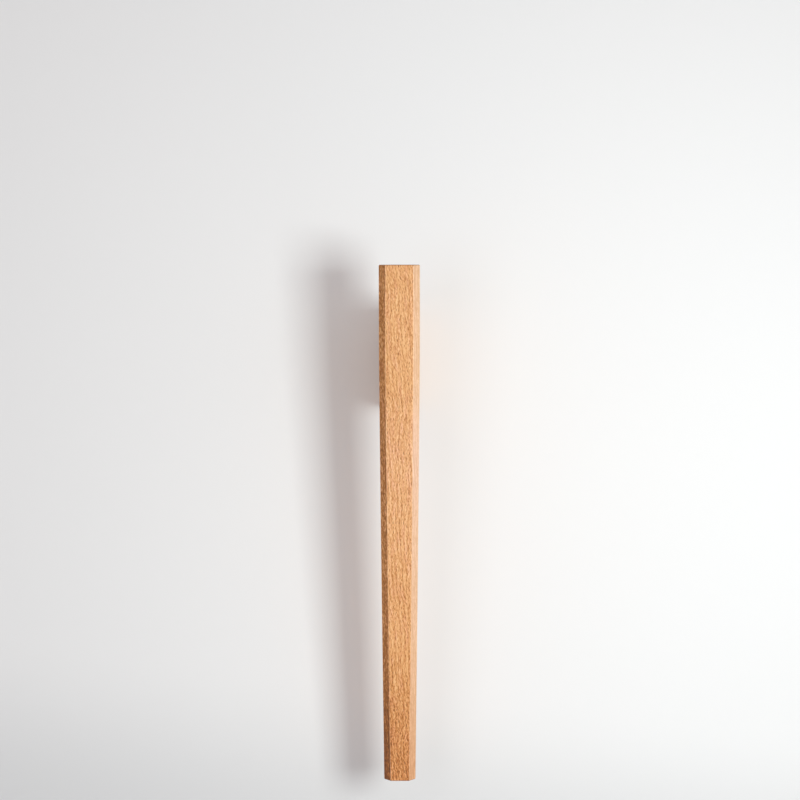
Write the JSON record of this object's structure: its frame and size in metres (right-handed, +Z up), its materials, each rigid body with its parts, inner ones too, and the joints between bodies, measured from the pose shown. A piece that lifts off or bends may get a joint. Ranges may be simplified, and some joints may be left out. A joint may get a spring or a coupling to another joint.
{
  "type": "wall vase",
  "caption": "Slim tapered wooden wall vase on a stand-off block, leaning out at the top, with a lift-out glass tube for cut stems and a dovetail wall cleat.",
  "frame": {"origin": "on the wall plane, midway between the two wall screws, which is the middle of the cleat", "axes": "+Z up, +Y into the wall, so the vase stands out towards -Y, and +X to the right of someone facing the wall"},
  "size_m": [0.032, 0.1439, 0.4108],
  "materials": {
    "beech": "oiled, fine sanded, grain along the body",
    "beech_block": "oiled, fine sanded, grain upright",
    "dowel": "plain, glued in",
    "felt": "pressed wool felt",
    "glass": "clear, fire-polished rim",
    "cleat_metal": "satin, drawn along its length",
    "zinc_steel": "bright zinc plate"
  },
  "bodies": {
    "wall_fixing": {"wall_cleat": "cleat_metal", "upper_screw": "zinc_steel", "lower_screw": "zinc_steel"},
    "vase": {"vase_body": "beech", "standoff_block": "beech_block", "upper_dowels": "dowel", "lower_dowels": "dowel", "tube_pad": "felt"},
    "tube": {"glass_tube": "glass"}
  },
  "joints": [
    {"name": "vase_lift", "type": "slide", "parent": "wall_fixing", "child": "vase", "axis": [0, 0, 1], "range_m": [0, 0.075]},
    {"name": "tube_lift", "type": "slide", "parent": "vase", "child": "tube", "axis": [0, -0.0872, 0.9962], "range_m": [0, 0.13]}
  ]
}
